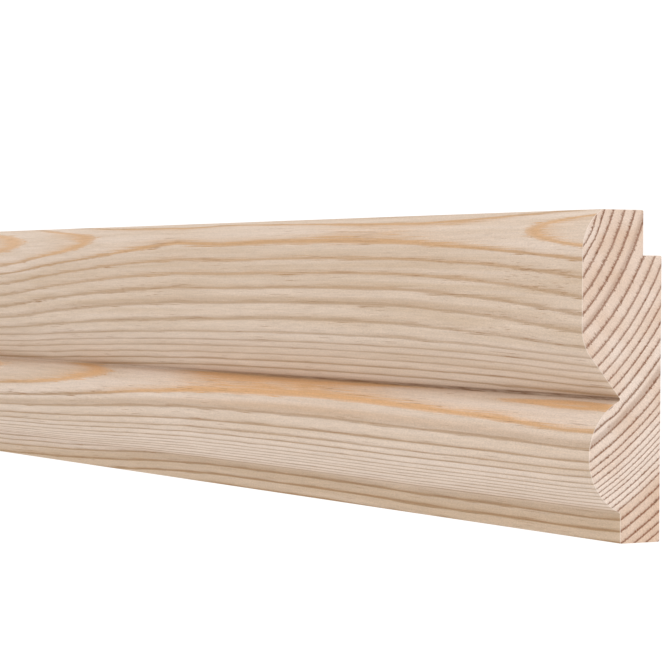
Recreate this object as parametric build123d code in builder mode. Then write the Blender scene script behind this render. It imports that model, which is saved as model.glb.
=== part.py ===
"""Picture rail, planed softwood moulding, one full stock length, in millimetres.

The rail lies flat on its back. X runs along its length, Y across its face from the foot edge
to the top edge, and Z through its thickness from the back, which meets the wall, to the face.
The origin is in the middle of the back.
"""

import os
from math import radians, sqrt, tan

from build123d import *

# Stock: the planed size of the board, and a length in which it is sold
length = 2400.0
height = 69.0
thickness = 20.0

# Foot: the square edge below the bead, cut back from the face
foot_setback = 10.0

# Bead: the lower round, a circle that swells out of the foot almost to the face
bead_radius = 12.5
bead_height = 18.0
bead_setback = 2.0

# Groove: the sharp hollow between the bead and the chamfer
groove_setback = 10.0
hollow_radius = 0.5

# Chamfer: the sloping underside of the upper swell, and the soft shoulder above it
chamfer_angle = 41.0
shoulder_radius = 8.0

# Nose: the round over the top edge, which ends at the flat top
nose_radius = 10.0
nose_drop = 4.9

# Rebate: the step along the back of the top edge, which takes the lip of a picture hook
rebate_depth = 4.75
rebate_height = 9.4

# Arris: the slight rounding that planing and handling leave on the long outer corners
arris_radius = 0.35

# Places across the face, from the middle: the edges, then what lies between them
foot = -height / 2
crest = height / 2
rebate_floor = crest - rebate_height

# Places through the thickness, from the back
foot_face = thickness - foot_setback
groove_floor = thickness - groove_setback
bead_crown = thickness - bead_setback
nose_end = thickness - nose_drop

# The bead is a circle, so it meets the foot and the groove where their depths cut it
bead_middle = foot + bead_height
bead_centre = bead_crown - bead_radius
bead_start = bead_middle - sqrt(bead_radius**2 - (foot_face - bead_centre) ** 2)
bead_end = bead_middle + sqrt(bead_radius**2 - (groove_floor - bead_centre) ** 2)
shoulder = bead_end + groove_setback / tan(radians(chamfer_angle))
nose_start = crest - sqrt(nose_radius**2 - (nose_radius - nose_drop) ** 2)


def corner(across, above):
    """The corner of the section at a place across the face and above the back."""
    return section.vertices().sort_by_distance((across, above))[0]


with BuildPart() as picture_rail:
    with BuildSketch(Plane.YZ.offset(-length / 2)) as section:
        with BuildLine():
            Polyline((foot, 0), (foot, foot_face), (bead_start, foot_face))
            ThreePointArc(
                (bead_start, foot_face),
                (bead_middle, bead_crown),
                (bead_end, groove_floor),
            )
            Polyline((bead_end, groove_floor), (shoulder, thickness), (nose_start, thickness))
            RadiusArc((nose_start, thickness), (crest, nose_end), nose_radius)
            Polyline(
                (crest, nose_end),
                (crest, rebate_depth),
                (rebate_floor, rebate_depth),
                (rebate_floor, 0),
                (foot, 0),
            )
        make_face()
        fillet(corner(shoulder, thickness), shoulder_radius)
        fillet([corner(bead_start, foot_face), corner(bead_end, groove_floor)], hollow_radius)
        fillet(
            [
                corner(foot, 0),
                corner(foot, foot_face),
                corner(crest, nose_end),
                corner(crest, rebate_depth),
                corner(rebate_floor, 0),
            ],
            arris_radius,
        )
    extrude(amount=length)

picture_rail.part.label = "picture_rail"
os.makedirs("parts", exist_ok=True)
export_step(picture_rail.part, "parts/picture_rail.step")
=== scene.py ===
"""Picture rail of planed pine, one full stock length, lying on its back on a pale studio floor."""

from math import asin, cos, pi, radians, sin, tan

import bmesh
import bpy
from mathutils import Matrix, Vector


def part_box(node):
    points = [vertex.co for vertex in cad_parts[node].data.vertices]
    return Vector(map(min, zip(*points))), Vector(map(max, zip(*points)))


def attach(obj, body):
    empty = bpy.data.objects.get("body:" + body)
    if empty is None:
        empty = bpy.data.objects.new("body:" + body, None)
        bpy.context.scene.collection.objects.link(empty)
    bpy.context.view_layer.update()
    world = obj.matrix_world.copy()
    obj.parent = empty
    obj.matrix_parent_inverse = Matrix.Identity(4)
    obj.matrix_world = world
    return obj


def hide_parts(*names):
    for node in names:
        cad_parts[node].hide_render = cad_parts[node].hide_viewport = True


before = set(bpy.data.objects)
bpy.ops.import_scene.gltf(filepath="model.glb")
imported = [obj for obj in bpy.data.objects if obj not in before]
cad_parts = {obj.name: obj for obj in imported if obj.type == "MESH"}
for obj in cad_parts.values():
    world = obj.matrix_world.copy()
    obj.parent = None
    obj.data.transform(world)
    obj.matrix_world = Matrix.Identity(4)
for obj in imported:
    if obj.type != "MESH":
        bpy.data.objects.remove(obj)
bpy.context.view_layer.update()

# The rail's wood, as it was before any planing
# One softwood board, sawn well away from the heart of the log, so that the rings cross its end as
# long arcs. The rings run on through the length, and the planed faces show where they cut them.

# Blender works in metres
mm = 0.001

# The heart lies outside the board, above its top edge and in front of its face, in mm
heart_across = 50.2
heart_above = 57.6

# Widths in mm from one year's dark line to the next, outwards from the first to touch the board
first_ring = 36.9
ring_widths = (
    2.6, 2.5, 2.2, 1.6, 2.1, 2.6, 2.5, 2.6, 3.0, 2.6, 2.3, 2.0, 2.0, 1.9, 2.0, 2.3, 2.3, 2.3,
    1.7, 1.4, 1.5, 1.2, 1.0, 1.0, 0.9, 1.3, 1.2, 1.3, 2.0, 2.1, 2.2, 1.8, 1.6, 1.8, 1.9, 1.8, 1.8,
)
last_ring = first_ring + sum(ring_widths)

# How dark the latewood is at a distance in mm from the heart: good years and dry years
latewood_depth = (
    (36.9, 0.6), (44.5, 0.62), (46.0, 0.7), (50.0, 0.54), (57.0, 0.54), (60.0, 0.5), (65.0, 0.5),
    (68.0, 0.56), (70.0, 0.66), (75.0, 0.7), (78.0, 0.68), (90.0, 0.72), (92.0, 0.85), (98.0, 0.9),
    (105.0, 0.8),
)

# How tan the earlywood is at a distance in mm from the heart. Partly the wood's own tone, and partly
# painted light: it is paler at the radii of the nose, the bead's top and the bead's underside, as a
# painted highlight on those faces that catch more light
earlywood_tan_and_painted_light = (
    (36.9, 0.3), (45.0, 0.35), (48.0, 0.65), (54.0, 0.6), (60.0, 0.45), (64.0, 0.35), (67.0, 0.45),
    (70.0, 0.4), (71.5, 0.4), (72.4, 0.1), (76.0, 0.35), (79.0, 0.4), (82.0, 0.1), (88.0, 0.0),
    (91.0, 0.6), (93.0, 0.95), (105.0, 0.95),
)

# How dark the wood is through a year's growth: pale earlywood, then latewood that ends sharply
years_growth = (
    (0.0, 0.15), (0.05, 0.0), (0.45, 0.03), (0.6, 0.12), (0.7, 0.3), (0.79, 0.62), (0.85, 0.95),
    (0.89, 1.0), (0.94, 0.88), (1.0, 0.15),
)

# Years with a broad band of latewood: how far it has turned, at a distance in mm from the heart
broad_years = (
    (36.9, 0.0), (54.1, 0.0), (54.7, 0.4), (55.8, 0.55), (55.9, 0.0), (74.4, 0.0), (74.8, 0.35),
    (76.1, 0.55), (76.3, 0.0), (105.0, 0.0),
)

# The trunk was not straight: how far, in mm, its rings stand out at places along the rail, and what
# share of that the rings take by their distance in mm from the heart. First the whole trunk,
# then the rings on its inner side, then the few nearest the heart.
swells = (
    (
        (
            (-1200, 0.0), (-1050, -0.5), (-900, -2.0), (-760, -1.0), (-600, 1.2), (-450, 2.6),
            (-300, 2.2), (-120, 0.2), (40, -1.6), (200, -2.2), (340, -1.2), (480, 0.9), (600, 2.4),
            (700, 3.4), (800, 4.1), (860, 3.9), (900, 3.3), (920, 2.9), (940, 2.3), (960, 1.6),
            (980, 0.8), (1000, 0.25), (1020, -0.15), (1050, -0.25), (1080, -0.25), (1100, -0.15),
            (1120, 0.05), (1160, 0.1), (1190, 0.2), (1200, 0.0),
        ),
        ((36.9, 1.0), (105.0, 1.0)),
    ),
    (
        (
            (-1200, 0.0), (-1000, 0.8), (-820, 1.6), (-640, 0.2), (-460, -1.8), (-280, -2.4),
            (-100, -0.8), (80, 1.2), (260, 1.8), (440, 0.6), (620, -0.8), (780, -1.6), (860, -1.8),
            (900, -2.0), (920, -2.4), (940, -2.7), (960, -2.7), (980, -2.55), (1000, -2.45),
            (1020, -2.5), (1040, -2.65), (1060, -2.9), (1080, -3.0), (1120, -3.1), (1140, -2.7),
            (1160, -2.1), (1180, -1.2), (1190, -0.6), (1200, 0.0),
        ),
        (
            (36.9, 0.6), (44.2, 0.6), (45.8, 0.62), (47.9, 0.75), (50.5, 0.94), (53.0, 1.03),
            (55.6, 1.09), (58.6, 1.17), (61.2, 1.07), (65.0, 0.98), (68.0, 0.8), (70.0, 0.62),
            (74.0, 0.35), (79.0, 0.1), (82.0, 0.0), (105.0, 0.0),
        ),
    ),
    (
        (
            (-1200, 0.0), (-900, -0.6), (-600, 0.3), (-300, 0.8), (0, -0.3), (300, -0.8), (600, 0.2),
            (900, -0.6), (930, -1.0), (1000, -0.9), (1030, -0.5), (1060, -0.2), (1120, -0.25),
            (1190, -0.3), (1200, 0.0),
        ),
        ((36.9, 1.0), (50.5, 1.0), (53.0, 0.9), (55.6, 0.65), (58.6, 0.3), (61.2, 0.0), (105.0, 0.0)),
    ),
)

# A curve holds only readings from 0 to 1, so these are the most that a swell and a share may be
most_swell = 6.0
most_share = 1.25

# Three bulges in the rings and one dip, two of them below the groove and two about the nose: the
# middle and the reach of each, along, across and above, and its height in mm
bulges = (
    ((1160.0, -6.2, 12.5), (76.0, 4.0, 4.0), 1.5),
    ((1018.0, -6.2, 12.6), (60.0, 5.0, 5.0), -0.4),
    ((1210.0, 30.4, 18.9), (36.0, 5.0, 5.0), 0.6),
    ((1035.0, 33.0, 17.5), (115.0, 5.0, 5.0), 1.2),
)


def add(tree, kind, inputs=(), points=(), **settings):
    """Adds a node: its settings, the points of its curve, and its inputs.

    An input is a plain value, or the socket or node that feeds it. Inputs go by name, or in order.
    """
    node = tree.nodes.new(kind)
    for name, value in settings.items():
        setattr(node, name, value)
    if points:
        drawn = node.mapping.curves[0].points
        drawn[0].location, drawn[1].location = points[0], points[-1]
        for place, value in points[1:-1]:
            drawn.new(place, value)
        node.mapping.update()
    if not isinstance(inputs, dict):
        shown = [socket for socket in node.inputs if socket.enabled]
        inputs = {shown[order]: value for order, value in enumerate(inputs) if value is not None}
    for socket, value in inputs.items():
        if isinstance(socket, str):
            socket = node.inputs[socket]
        if isinstance(value, bpy.types.Node):
            value = next(output for output in value.outputs if output.enabled)
        if isinstance(value, bpy.types.NodeSocket):
            tree.links.new(value, socket)
        else:
            socket.default_value = value
    return node


def linear(colour):
    """The linear colour, with full alpha, of an sRGB hex colour such as "#C9A27B"."""
    channels = [int(colour[place : place + 2], 16) / 255 for place in (1, 3, 5)]
    return [c / 12.92 if c <= 0.04045 else ((c + 0.055) / 1.055) ** 2.4 for c in channels] + [1.0]


def by_radius(readings):
    """Makes readings at distances from the heart into the points of a curve over all the rings."""
    span = last_ring - first_ring
    return [((distance - first_ring) / span, reading) for distance, reading in readings]


def grain(tree, place, sizes, detail, roughness=0.5):
    """Adds a noise with grains of the given sizes in mm: along, out from the heart, and round it."""
    fine = [1 / size for size in sizes]
    place = add(tree, "ShaderNodeVectorMath", [place, fine], operation="MULTIPLY")
    inputs = {"Vector": place, "Scale": 1.0, "Detail": detail, "Roughness": roughness}
    return add(tree, "ShaderNodeTexNoise", inputs)


log = bpy.data.node_groups.new("log", "ShaderNodeTree")
for name, kind in (
    ("Place", "Vector"),  # in mm: along the grain, out from the heart, and round the heart
    ("Late", "Float"),  # how far the wood has turned to latewood
    ("Depth", "Float"),  # how dark that year's latewood is
    ("Shade", "Float"),  # how tan its earlywood is
    ("Flat", "Float"),  # 1 where the surface lies along the rings, 0 where it crosses them
):
    log.interface.new_socket(name, in_out="OUTPUT", socket_type=f"NodeSocket{kind}")

# A point's place from the heart. The way round is measured on the ring in the board's middle
middle_radius = 70.0
texture = add(log, "ShaderNodeTexCoord")
place = add(log, "ShaderNodeVectorMath", [texture.outputs["Object"], (1 / mm,) * 3], operation="MULTIPLY")
along, across, above = add(log, "ShaderNodeSeparateXYZ", [place]).outputs
across = add(log, "ShaderNodeMath", [across, heart_across], operation="SUBTRACT")
above = add(log, "ShaderNodeMath", [above, heart_above], operation="SUBTRACT")
arm = add(log, "ShaderNodeCombineXYZ", [0.0, across, above])
radius = add(log, "ShaderNodeVectorMath", [arm], operation="LENGTH")
turn = add(log, "ShaderNodeMath", [above, across], operation="ARCTAN2")
round_heart = add(log, "ShaderNodeMath", [turn, middle_radius], operation="MULTIPLY")
outwards = add(log, "ShaderNodeVectorMath", [arm], operation="NORMALIZE")
flat = add(log, "ShaderNodeVectorMath", [texture.outputs["Normal"], outwards], operation="DOT_PRODUCT")
flat = add(log, "ShaderNodeMath", [flat], operation="ABSOLUTE")

# The swells and the bulges move the rings, so a ring is sought where it has moved to: first with
# the whole trunk's swell alone, then in a few passes with all the swells, each by the last result
half_length = 1200.0
passes = 3
share = add(log, "ShaderNodeMapRange", [along, -half_length, half_length, 0.0, 1.0])
stands_out = []
for heights, shares in swells:
    points = [((x / half_length + 1) / 2, (rise / most_swell + 1) / 2) for x, rise in heights]
    curve = add(log, "ShaderNodeFloatCurve", {"Value": share}, points)
    stands_out.append(add(log, "ShaderNodeMapRange", [curve, 0.0, 1.0, -most_swell, most_swell]))
unmoved = radius
for middle, reach, most in bulges:
    away = add(log, "ShaderNodeVectorMath", [place, middle], operation="SUBTRACT")
    away = add(log, "ShaderNodeVectorMath", [away, reach], operation="DIVIDE")
    away = add(log, "ShaderNodeVectorMath", [away], operation="LENGTH")
    rise = [away, 0.0, 1.0, most, 0.0]
    rise = add(log, "ShaderNodeMapRange", rise, interpolation_type="SMOOTHSTEP")
    unmoved = add(log, "ShaderNodeMath", [unmoved, rise], operation="SUBTRACT")
out = add(log, "ShaderNodeMath", [unmoved, stands_out[0]], operation="SUBTRACT")
for sought in range(passes):
    share = add(log, "ShaderNodeMapRange", [out, first_ring, last_ring, 0.0, 1.0])
    out = unmoved
    for (heights, shares), moved in zip(swells, stands_out):
        points = by_radius([(distance, taken / most_share) for distance, taken in shares])
        curve = add(log, "ShaderNodeFloatCurve", {"Value": share}, points)
        part = add(log, "ShaderNodeMath", [curve, most_share], operation="MULTIPLY")
        part = add(log, "ShaderNodeMath", [part, moved], operation="MULTIPLY")
        out = add(log, "ShaderNodeMath", [out, part], operation="SUBTRACT")

# No ring is a true circle: a slow waver and a finer one, each as its sizes and its depth in mm
for sizes, depth in (((70.0, 12.0, 12.0), 0.1), ((30.0, 4.0, 4.0), 0.06)):
    waver = grain(log, place, sizes, 1.0)
    waver = add(log, "ShaderNodeMapRange", [waver, 0.0, 1.0, -depth, depth])
    out = add(log, "ShaderNodeMath", [out, waver], operation="ADD")

# Years, counted from the radius through the ring widths. A year ends a little further out than the
# middle of its dark line, so the count is less by that share of a year
line_to_year_end = 0.12
years = len(ring_widths)
counted = [(first_ring + sum(ring_widths[:year]), year / years) for year in range(years + 1)]
share = add(log, "ShaderNodeMapRange", [out, first_ring, last_ring, 0.0, 1.0])
curve = add(log, "ShaderNodeFloatCurve", {"Value": share}, by_radius(counted))
count = add(log, "ShaderNodeMath", [curve, years, -line_to_year_end], operation="MULTIPLY_ADD")
growth = add(log, "ShaderNodeMath", [count], operation="FRACT")
year = add(log, "ShaderNodeMath", [count], operation="FLOOR")
chance = add(log, "ShaderNodeTexWhiteNoise", {"W": year}, noise_dimensions="1D")
wood = add(log, "ShaderNodeCombineXYZ", [along, out, round_heart])

# Latewood: its depth by the year, its start made ragged by the fibres, most of all near the heart
tooth = grain(log, wood, (18.0, 1.5, 0.3), 2.0)
tooth = add(log, "ShaderNodeMapRange", [tooth, 0.25, 0.75, -1.0, 1.0])
reach = add(log, "ShaderNodeMapRange", [out, 56.0, 62.0, 0.15, 0.11])
reach = add(log, "ShaderNodeMath", [reach, tooth], operation="MULTIPLY")
taper = add(log, "ShaderNodeMapRange", [growth, 0.8, 0.92, 1.0, 0.0])
aged = add(log, "ShaderNodeMath", [reach, taper, growth], operation="MULTIPLY_ADD")
late = add(log, "ShaderNodeFloatCurve", {"Value": aged}, years_growth)
broad = add(log, "ShaderNodeFloatCurve", {"Value": share}, by_radius(broad_years))
late = add(log, "ShaderNodeMath", [late, broad], operation="MAXIMUM")
depth = add(log, "ShaderNodeFloatCurve", {"Value": share}, by_radius(latewood_depth))
fate = add(log, "ShaderNodeMapRange", [chance, 0.0, 1.0, 0.88, 1.06])
depth = add(log, "ShaderNodeMath", [depth, fate], operation="MULTIPLY")
# The earlywood's tan, which is partly painted light on the faces that catch more of it
shade = add(log, "ShaderNodeFloatCurve", {"Value": share}, by_radius(earlywood_tan_and_painted_light))
add(log, "NodeGroupOutput", [wood, late, depth, shade, flat])

# The planed faces
# Pine, run through a four-sided planer and sanded lightly: pale cream earlywood, amber latewood
# lines, and fine fibre streaks along the grain. It is unfinished, so it shines very little.

# Latewood is tan where the cut crosses a ring, and amber where it lies along one
pale_earlywood = linear("#E4D0BF")
tan_earlywood = linear("#CDB398")
tan_latewood = linear("#A07A50")
amber_latewood = linear("#DDA25C")
resin_brown = linear("#96683C")
# Brown for the painted shade beside the groove, and a darker brown for its line, partly crushing and
# partly painted shade
painted_groove_shade_brown = linear("#A87A4A")
line_brown_crush_and_shade = linear("#6E4519")

planed_pine = bpy.data.materials.new("planed_pine")
planed_pine.use_nodes = True
tree = planed_pine.node_tree
tree.nodes.clear()
wood, late, depth, shade, flat = add(tree, "ShaderNodeGroup", node_tree=log).outputs

# Fibres, broad streaks of paler and darker earlywood, and the fine speckle that sanding leaves
fibre = grain(tree, wood, (9.0, 0.4, 0.4), 3.0, 0.6)
streak = grain(tree, wood, (90.0, 2.0, 2.0), 2.0)
streak = add(tree, "ShaderNodeMapRange", [streak, 0.3, 0.7, -0.25, 0.25])
speckle = grain(tree, wood, (0.6, 0.2, 0.2), 2.0)

# Resin canals and torn fibres: short dark dashes, which come in patches, mostly in the latewood
# and most of all near the heart, but faint in the three rings that lie nearest to it
canal = grain(tree, wood, (12.0, 0.2, 0.2), 1.0)
patch = grain(tree, wood, (35.0, 3.0, 8.0), 1.0)
patch = add(tree, "ShaderNodeMapRange", [patch, 0.42, 0.65, 0.0, 0.11])
canal = add(tree, "ShaderNodeMath", [canal, patch], operation="ADD")
radius = add(tree, "ShaderNodeSeparateXYZ", [wood]).outputs["Y"]
torn = add(tree, "ShaderNodeMapRange", [radius, 45.0, 58.0, 0.14, 0.05])
canal = add(tree, "ShaderNodeMath", [late, torn, canal], operation="MULTIPLY_ADD")
canal = add(tree, "ShaderNodeMapRange", [canal, 0.76, 0.84, 0.0, 0.6])
sound = add(tree, "ShaderNodeMapRange", [radius, 44.3, 45.3, 0.3, 1.0])
canal = add(tree, "ShaderNodeMath", [canal, sound], operation="MULTIPLY")

# The bottom of the groove gets a dark line, partly the fibres that the cutters crush where they meet and
# partly painted shade in the crease, with a browner strip of painted shade on each side: the middle of
# the line, and how far from it each one fades out, in mm
groove_middle = (0.0, -4.6, 10.2)
line_fades = (0.36, 0.68)
painted_shade_fades = (0.4, 2.4)
groove = add(tree, "ShaderNodeTexCoord")
groove = add(
    tree, "ShaderNodeVectorMath", [groove.outputs["Object"], (1 / mm,) * 3], operation="MULTIPLY"
)
groove = add(tree, "ShaderNodeVectorMath", [groove, groove_middle], operation="SUBTRACT")
groove = add(tree, "ShaderNodeVectorMath", [groove, (0.0, 1.0, 1.0)], operation="MULTIPLY")
groove = add(tree, "ShaderNodeVectorMath", [groove], operation="LENGTH")
painted_groove_shade = add(tree, "ShaderNodeMapRange", [groove, *painted_shade_fades, 0.35, 0.0])
groove = add(tree, "ShaderNodeMapRange", [groove, *line_fades, 1.0, 0.0])
worn = add(tree, "ShaderNodeMapRange", [fibre, 0.35, 0.65, 0.3, 0.85])
groove = add(tree, "ShaderNodeMath", [groove, worn], operation="MULTIPLY")

# The dark line, its crushing and its painted shade alike, comes and goes: the length of its wave, and
# where along the rail one wave starts, in mm
wave_length = 600.0
wave_start = 1030.0
wave = add(tree, "ShaderNodeSeparateXYZ", [wood]).outputs["X"]
wave = add(tree, "ShaderNodeMath", [wave, wave_start], operation="SUBTRACT")
wave = add(tree, "ShaderNodeMath", [wave, 2 * pi / wave_length], operation="MULTIPLY")
wave = add(tree, "ShaderNodeMath", [wave], operation="SINE")
groove_line_strength = add(tree, "ShaderNodeMapRange", [wave, -1.0, 1.0, 0.1, 1.1])
groove = add(tree, "ShaderNodeMath", [groove, groove_line_strength], operation="MULTIPLY", use_clamp=True)

# The amber is weaker about one ring near the heart, at this distance from it in mm
weak_ring = 46.8
amber = add(tree, "ShaderNodeMapRange", [flat, 0.7, 0.95, 0.0, 1.0], interpolation_type="SMOOTHSTEP")
soft = add(tree, "ShaderNodeMath", [radius, weak_ring], operation="SUBTRACT")
soft = add(tree, "ShaderNodeMath", [soft], operation="ABSOLUTE")
soft = add(tree, "ShaderNodeMapRange", [soft, 0.8, 4.0, 0.6, 1.0])
amber = add(tree, "ShaderNodeMath", [amber, soft], operation="MULTIPLY")

shade = add(tree, "ShaderNodeMath", [shade, streak], operation="ADD", use_clamp=True)
early = add(tree, "ShaderNodeMix", [shade, pale_earlywood, tan_earlywood], data_type="RGBA")
deep = add(tree, "ShaderNodeMix", [amber, tan_latewood, amber_latewood], data_type="RGBA")
late = add(tree, "ShaderNodeMath", [late, depth], operation="MULTIPLY")
colour = add(tree, "ShaderNodeMix", [late, early, deep], data_type="RGBA")
# Over the wood go the resin dashes, then the groove's strip of painted shade, then its dark line of
# crushing and painted shade
for share, mark in ((canal, resin_brown), (painted_groove_shade, painted_groove_shade_brown), (groove, line_brown_crush_and_shade)):
    colour = add(tree, "ShaderNodeMix", [share, colour, mark], data_type="RGBA")
tint = add(tree, "ShaderNodeMapRange", [fibre, 0.3, 0.7, 0.93, 1.06])
grit = add(tree, "ShaderNodeMapRange", [speckle, 0.3, 0.7, 0.9, 1.09])
tint = add(tree, "ShaderNodeMath", [tint, grit], operation="MULTIPLY")
colour = add(tree, "ShaderNodeVectorMath", [colour, tint], operation="SCALE")

height = add(tree, "ShaderNodeMath", [fibre, late], operation="ADD")
height = add(tree, "ShaderNodeMath", [height, speckle], operation="ADD")
bump = add(tree, "ShaderNodeBump", {"Strength": 1.0, "Distance": 0.02 * mm, "Height": height})
roughness = add(tree, "ShaderNodeMapRange", [fibre, 0.0, 1.0, 0.55, 0.7])
surface = add(
    tree, "ShaderNodeBsdfPrincipled", {"Base Color": colour, "Roughness": roughness, "Normal": bump}
)
add(tree, "ShaderNodeOutputMaterial", {"Surface": surface})

# The sawn ends
# Pine cut across the grain with a fine saw: pinkish cream with brown latewood arcs, and the faint
# lines of the rays that cross the rings. The cut fibre ends scatter the light, so it is matt.

# Earlywood and latewood as they are when cut across, each from its pale years to its tan ones
pale_cut_earlywood = linear("#DBC8BA")
tan_cut_earlywood = linear("#CCB09A")
brown_cut_latewood = linear("#7E5A42")
russet_cut_latewood = linear("#7A482A")
canal_brown = linear("#7A543C")
# Cream for the painted highlight along the edges of the cut
edge_highlight_cream = linear("#F3E4D6")

sawn_pine = bpy.data.materials.new("sawn_pine")
sawn_pine.use_nodes = True
tree = sawn_pine.node_tree
tree.nodes.clear()
wood, late, depth, shade = add(tree, "ShaderNodeGroup", node_tree=log).outputs[:4]

# Rays that cross the rings, the fuzz of the cut fibres, and broad blots of paler and darker earlywood
ray = grain(tree, wood, (40.0, 1.8, 0.25), 2.0)
fuzz = grain(tree, wood, (5.0, 0.3, 0.3), 2.0)
blot = grain(tree, wood, (60.0, 7.0, 7.0), 2.0)
blot = add(tree, "ShaderNodeMapRange", [blot, 0.3, 0.7, -0.3, 0.3])

# Across the grain the latewood starts later and darker, and the rays cut it into teeth
late = add(tree, "ShaderNodeMath", [late, 1.2], operation="POWER")
depth = add(tree, "ShaderNodeMapRange", [depth, 0.45, 0.7, 0.85, 1.0])
tooth = add(tree, "ShaderNodeMapRange", [ray, 0.35, 0.65, 0.7, 1.1])
depth = add(tree, "ShaderNodeMath", [depth, tooth], operation="MULTIPLY", use_clamp=True)

# Resin canals: dark dots in the latewood, largest near the heart, and their spacing in mm
dot_spacing = 1.7
dots = (0.0, 1 / dot_spacing, 1 / dot_spacing)
dots = add(tree, "ShaderNodeVectorMath", [wood, dots], operation="MULTIPLY")
dots = add(tree, "ShaderNodeTexVoronoi", {"Vector": dots, "Scale": 1.0})
pick = add(tree, "ShaderNodeSeparateColor", [dots.outputs["Color"]])
size = add(tree, "ShaderNodeMapRange", [pick, 0.5, 1.0, 0.0, 0.3])
radius = add(tree, "ShaderNodeSeparateXYZ", [wood]).outputs["Y"]
near = add(tree, "ShaderNodeMapRange", [radius, 48.0, 56.0, 1.2, 0.8])
size = add(tree, "ShaderNodeMath", [size, near], operation="MULTIPLY")
canal = add(tree, "ShaderNodeMath", [dots.outputs["Distance"], size], operation="LESS_THAN")
canal = add(tree, "ShaderNodeMath", [canal, late], operation="MULTIPLY", use_clamp=True)

shade = add(tree, "ShaderNodeMath", [shade, blot], operation="ADD", use_clamp=True)
early = add(tree, "ShaderNodeMix", [shade, pale_cut_earlywood, tan_cut_earlywood], data_type="RGBA")
deep = add(tree, "ShaderNodeMix", [shade, brown_cut_latewood, russet_cut_latewood], data_type="RGBA")
late = add(tree, "ShaderNodeMath", [late, depth], operation="MULTIPLY")
colour = add(tree, "ShaderNodeMix", [late, early, deep], data_type="RGBA")
colour = add(tree, "ShaderNodeMix", [canal, colour, canal_brown], data_type="RGBA")
tint = add(tree, "ShaderNodeMapRange", [ray, 0.3, 0.7, 0.93, 1.06])
grit = add(tree, "ShaderNodeMapRange", [fuzz, 0.3, 0.7, 0.88, 1.1])
tint = add(tree, "ShaderNodeMath", [tint, grit], operation="MULTIPLY")
colour = add(tree, "ShaderNodeVectorMath", [colour, tint], operation="SCALE")

# A pale cream painted highlight along the rounded edges of the cut, where their arris catches the light
facing = add(tree, "ShaderNodeTexCoord")
facing = add(tree, "ShaderNodeSeparateXYZ", [facing.outputs["Normal"]])
facing = add(tree, "ShaderNodeMath", [facing], operation="ABSOLUTE")
painted_edge_highlight = add(tree, "ShaderNodeMapRange", [facing, 0.98, 0.8, 0.0, 0.7])
colour = add(tree, "ShaderNodeMix", [painted_edge_highlight, colour, edge_highlight_cream], data_type="RGBA")

height = add(tree, "ShaderNodeMath", [fuzz, ray], operation="ADD")
bump = add(tree, "ShaderNodeBump", {"Strength": 1.0, "Distance": 0.03 * mm, "Height": height})
surface = add(
    tree, "ShaderNodeBsdfPrincipled", {"Base Color": colour, "Roughness": 0.85, "Normal": bump}
)
add(tree, "ShaderNodeOutputMaterial", {"Surface": surface})

# The rail
# One length of pine, moulded on its face and foot, with a rebate behind its top edge that takes
# the lip of the picture hooks. The cutters leave clean curves, and the long corners are eased.

low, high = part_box("picture_rail")
foot, crest = low.y, high.y
back, face = low.z, high.z
length = high.x - low.x

# The section's sizes and places, from the foot up to the rebate, as in the CAD model
foot_face = face - 10.0 * mm
bead_radius = 12.5 * mm
bead_middle = foot + 18.0 * mm
bead_centre = face - 2.0 * mm - bead_radius
groove_floor = face - 10.0 * mm
hollow_radius = 0.5 * mm
chamfer_angle = radians(41)
shoulder_radius = 8.0 * mm
nose_radius = 10.0 * mm
nose_drop = 4.9 * mm
rebate_depth = back + 4.75 * mm
rebate_floor = crest - 9.4 * mm
arris_radius = 0.35 * mm

# The slight arris that the saw leaves round each end
sawn_arris = 0.15 * mm

# How finely the mesh is made: the steps in the long arcs, and the bays along the rail, so that its
# faces don't come out as long slivers. An edge is a sharp one past the crease angle
bead_steps = 40
nose_steps = 20
bays = 24
crease = radians(25)

# Angles of the round stretches, from the horizontal through their centres
bead_from = asin((foot_face - bead_centre) / bead_radius)
bead_to = asin((groove_floor - bead_centre) / bead_radius)
nose_to = asin((nose_radius - nose_drop) / nose_radius)
bead_start = bead_middle - bead_radius * cos(bead_from)
bead_end = bead_middle + bead_radius * cos(bead_to)
shoulder = bead_end + (face - groove_floor) / tan(chamfer_angle)
nose_start = crest - nose_radius * cos(nose_to)

shape = bmesh.new()


def straight(start, across, above):
    """Draws the section on from a corner in a straight line, and gives the corner at its end."""
    end = bmesh.ops.extrude_vert_indiv(shape, verts=[start])["verts"][0]
    end.co = (low.x, across, above)
    return end


def rounded(start, across, above, angle, steps):
    """Draws the section on from a corner in an arc about a centre, and gives the corner at its end."""
    drawn = bmesh.ops.spin(
        shape, geom=[start], cent=(low.x, across, above), axis=(1, 0, 0), angle=angle, steps=steps
    )
    return next(part for part in drawn["geom_last"] if isinstance(part, bmesh.types.BMVert))


foot_back = shape.verts.new((low.x, foot, back))
foot_front = straight(foot_back, foot, foot_face)
below_bead = straight(foot_front, bead_start, foot_face)
above_bead = rounded(below_bead, bead_middle, bead_centre, bead_from + bead_to - pi, bead_steps)
swell_corner = straight(above_bead, shoulder, face)
nose_corner = straight(swell_corner, nose_start, face)
top_front = rounded(nose_corner, nose_start, face - nose_radius, nose_to - pi / 2, nose_steps)
top_back = straight(top_front, crest, rebate_depth)
rebate_corner = straight(top_back, rebate_floor, rebate_depth)
rebate_back = straight(rebate_corner, rebate_floor, back)
shape.edges.new((rebate_back, foot_back))
shape.faces.new(shape.verts)

# Which corners of the section are rounded: their radius, the turn they make, and their segments
for corners, radius, turned, segments in (
    ([below_bead], hollow_radius, pi / 2 - bead_from, 4),
    ([above_bead], hollow_radius, pi / 2 - bead_to + chamfer_angle, 6),
    ([swell_corner], shoulder_radius, chamfer_angle, 14),
    ([foot_back, foot_front, top_back, rebate_back], arris_radius, pi / 2, 3),
    ([top_front], arris_radius, nose_to, 3),
):
    bmesh.ops.bevel(
        shape,
        geom=corners,
        affect="VERTICES",
        offset=radius * tan(turned / 2),
        segments=segments,
        profile=0.5,
        material=-1,
    )

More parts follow.
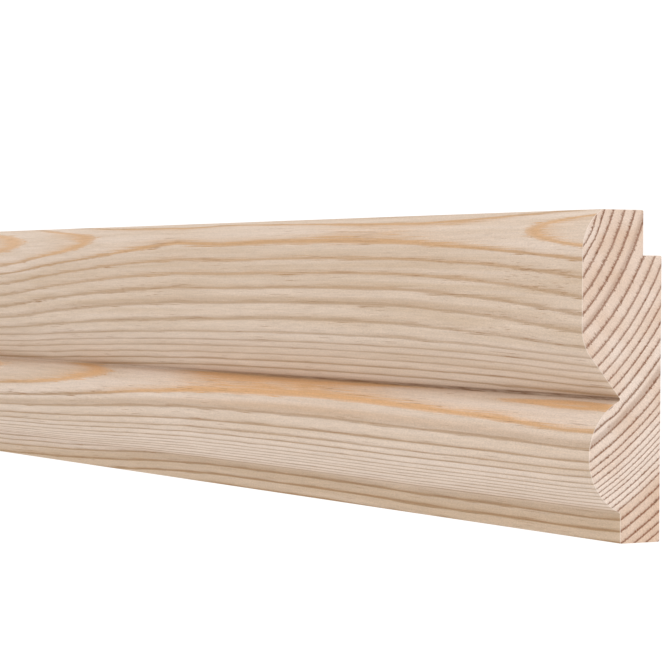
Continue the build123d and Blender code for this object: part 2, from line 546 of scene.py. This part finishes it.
# The section is drawn out bay by bay. The faces that then look along the rail are the sawn ends
end_face = shape.faces[:][0]
for bay in range(bays):
    grown = bmesh.ops.extrude_face_region(shape, geom=[end_face])["geom"]
    end_face = next(part for part in grown if isinstance(part, bmesh.types.BMFace))
    bmesh.ops.translate(shape, verts=end_face.verts, vec=(length / bays, 0, 0))
bmesh.ops.recalc_face_normals(shape, faces=shape.faces)
ends = [part for part in shape.faces if abs(part.normal.x) > 0.99]
for part in ends:
    part.material_index = 1
bmesh.ops.bevel(
    shape,
    geom=[edge for part in ends for edge in part.edges],
    affect="EDGES",
    offset=sawn_arris,
    segments=2,
    profile=0.5,
    material=1,
)

mesh = bpy.data.meshes.new("picture_rail_moulding")
shape.to_mesh(mesh)
shape.free()
mesh.materials.append(planed_pine)
mesh.materials.append(sawn_pine)
mesh.shade_smooth()
mesh.set_sharp_from_angle(angle=crease)
rail = bpy.data.objects.new("picture_rail_moulding", mesh)
bpy.context.scene.collection.objects.link(rail)
weighted = rail.modifiers.new("flat faces stay flat", "WEIGHTED_NORMAL")
weighted.keep_sharp = True

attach(rail, "root")
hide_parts("picture_rail")

# The studio
# A plain pale floor, softly lit from below as a light table is, in even white light from all
# round. Large lamps beyond the near end and above each long edge give it some direction.

# The floor's reach from its middle in metres, and how strongly it and the surroundings glow
floor_reach = 12.0
floor_glow = 0.9
sky_glow = 0.69

scene = bpy.context.scene
scene.view_settings.view_transform = "Standard"

floor_finish = bpy.data.materials.new("matt_white_floor")
floor_finish.use_nodes = True
tree = floor_finish.node_tree
tree.nodes.clear()
surface = add(
    tree, "ShaderNodeBsdfPrincipled", {"Base Color": linear("#7C7C7C"), "Roughness": 0.9}
)
surface.inputs["Specular IOR Level"].default_value = 0.0
surface.inputs["Emission Color"].default_value = linear("#FFFFFF")
surface.inputs["Emission Strength"].default_value = floor_glow
add(tree, "ShaderNodeOutputMaterial", {"Surface": surface})

ground = bmesh.new()
bmesh.ops.create_grid(ground, x_segments=1, y_segments=1, size=floor_reach)
mesh = bpy.data.meshes.new("floor")
ground.to_mesh(mesh)
ground.free()
mesh.materials.append(floor_finish)
floor = bpy.data.objects.new("floor", mesh)
scene.collection.objects.link(floor)

world = bpy.data.worlds.new("studio")
world.use_nodes = True
world.node_tree.nodes["Background"].inputs["Color"].default_value = (1.0, 1.0, 1.0, 1.0)
world.node_tree.nodes["Background"].inputs["Strength"].default_value = sky_glow
scene.world = world

# The lamps: all of one size, and at one distance from a point a little short of the near end, in
# metres. Each has its direction from that point, and its power in watts
lamp_size = 2.5
lamp_distance = 4.0
aim = Vector((high.x - 100 * mm, 0.0, 0.0))
for name, direction, power in (
    ("key_light", (0.90, 0.10, 0.40), 44.0),
    ("top_light", (0.30, 0.80, 0.60), 37.0),
    ("foot_light", (0.30, -0.80, 0.50), 28.0),
):
    data = bpy.data.lights.new(name, "AREA")
    data.energy = power
    data.size = lamp_size
    lamp = bpy.data.objects.new(name, data)
    lamp.location = aim + lamp_distance * Vector(direction).normalized()
    lamp.rotation_euler = (aim - lamp.location).to_track_quat("-Z", "Y").to_euler()
    scene.collection.objects.link(lamp)

# The camera
# It stands off the near end, in front of the face and a little above the middle, and looks back
# along the rail. Its picture is upright when the rail is, so the camera lies on its side.

# Its place in metres, its turn, tilt and roll, and its lens in mm for film of this width, all as
# fitted to the corners of the rail in the photo
place = Vector((1.64312, 0.01866, 0.33209))
turn = radians(29.757)
tilt = radians(1.038)
roll = radians(0.347)
lens = 143.04
film_width = 36.0

right = Vector((sin(turn), 0.0, -cos(turn)))
up = Vector((0.0, 1.0, 0.0))
forward = Vector((-cos(turn), 0.0, -sin(turn)))
forward, up = cos(tilt) * forward - sin(tilt) * up, cos(tilt) * up + sin(tilt) * forward
right, up = cos(roll) * right + sin(roll) * up, cos(roll) * up - sin(roll) * right

data = bpy.data.cameras.new("camera")
data.lens = lens
data.sensor_width = film_width
data.clip_start = 0.05
data.clip_end = 50.0
camera = bpy.data.objects.new("camera", data)
axes = Matrix((right, up, -forward)).transposed()
camera.matrix_world = Matrix.Translation(place) @ axes.to_4x4()
scene.collection.objects.link(camera)
scene.camera = camera
